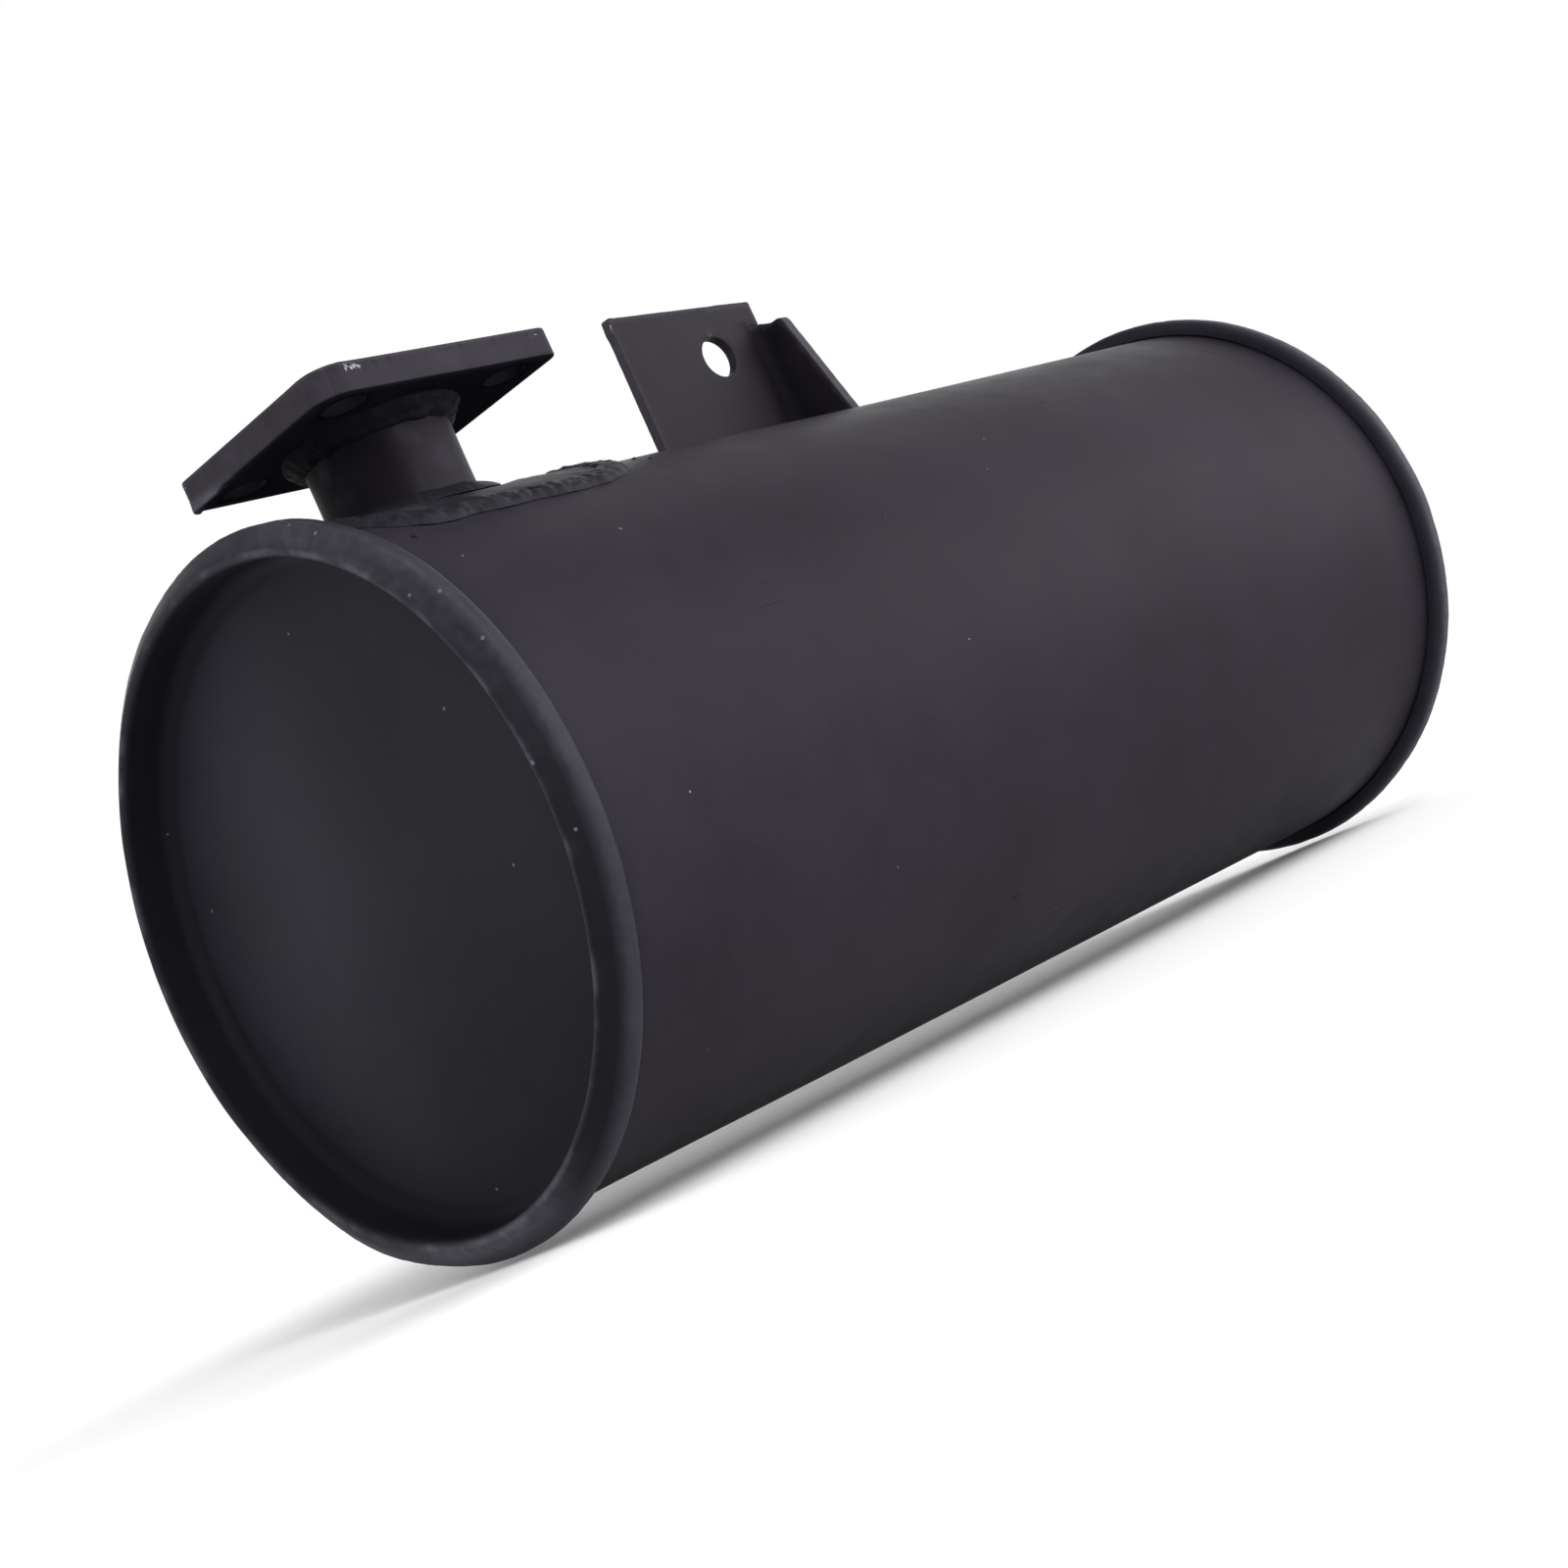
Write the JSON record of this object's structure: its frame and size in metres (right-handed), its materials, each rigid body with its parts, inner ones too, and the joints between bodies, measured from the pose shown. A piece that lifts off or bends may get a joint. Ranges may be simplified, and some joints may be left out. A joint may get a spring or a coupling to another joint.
{
  "type": "exhaust silencer",
  "caption": "Cylindrical exhaust silencer with recessed end caps, rolled rims, a bolted inlet flange on a short neck, an axial outlet stub and a bent mounting bracket.",
  "frame": {"origin": "centre of the inlet flange's mating face", "axes": "+Z out of the flange's face, towards the engine; +X along the shell, from the inlet end to the outlet end; the shell's axis lies 123.6 mm below the origin"},
  "size_m": [0.4325, 0.1886, 0.2301],
  "materials": {
    "shell_paint": "matte high-temperature black",
    "cap_paint": "matte high-temperature black",
    "flange_paint": "matte high-temperature black, worn at the edges",
    "neck_paint": "matte high-temperature black",
    "bracket_paint": "matte high-temperature black",
    "outlet_paint": "matte high-temperature black",
    "inner_steel": "dull aluminised sheet"
  },
  "bodies": {
    "root": {"shell": "shell_paint", "shell_seam_weld": "shell_paint", "front_end_cap": "cap_paint", "rear_end_cap": "cap_paint", "inlet_flange": "flange_paint", "flange_weld": "flange_paint", "flange_bore_weld": "flange_paint", "inlet_pipe": "neck_paint", "pipe_base_weld": "neck_paint", "saddle_plate": "neck_paint", "saddle_weld": "neck_paint", "mounting_bracket": "bracket_paint", "bracket_plate_welds": "bracket_paint", "bracket_gusset_weld": "bracket_paint", "outlet_pipe": "outlet_paint", "outlet_weld": "outlet_paint", "inlet_diffuser": "inner_steel", "diffuser_plug": "inner_steel", "front_baffle": "inner_steel", "rear_baffle": "inner_steel", "left_transfer_tube": "inner_steel", "right_transfer_tube": "inner_steel", "return_tube": "inner_steel", "outlet_core": "inner_steel", "front_baffle_tube_welds": "inner_steel", "rear_baffle_tube_welds": "inner_steel"}
  },
  "joints": []
}
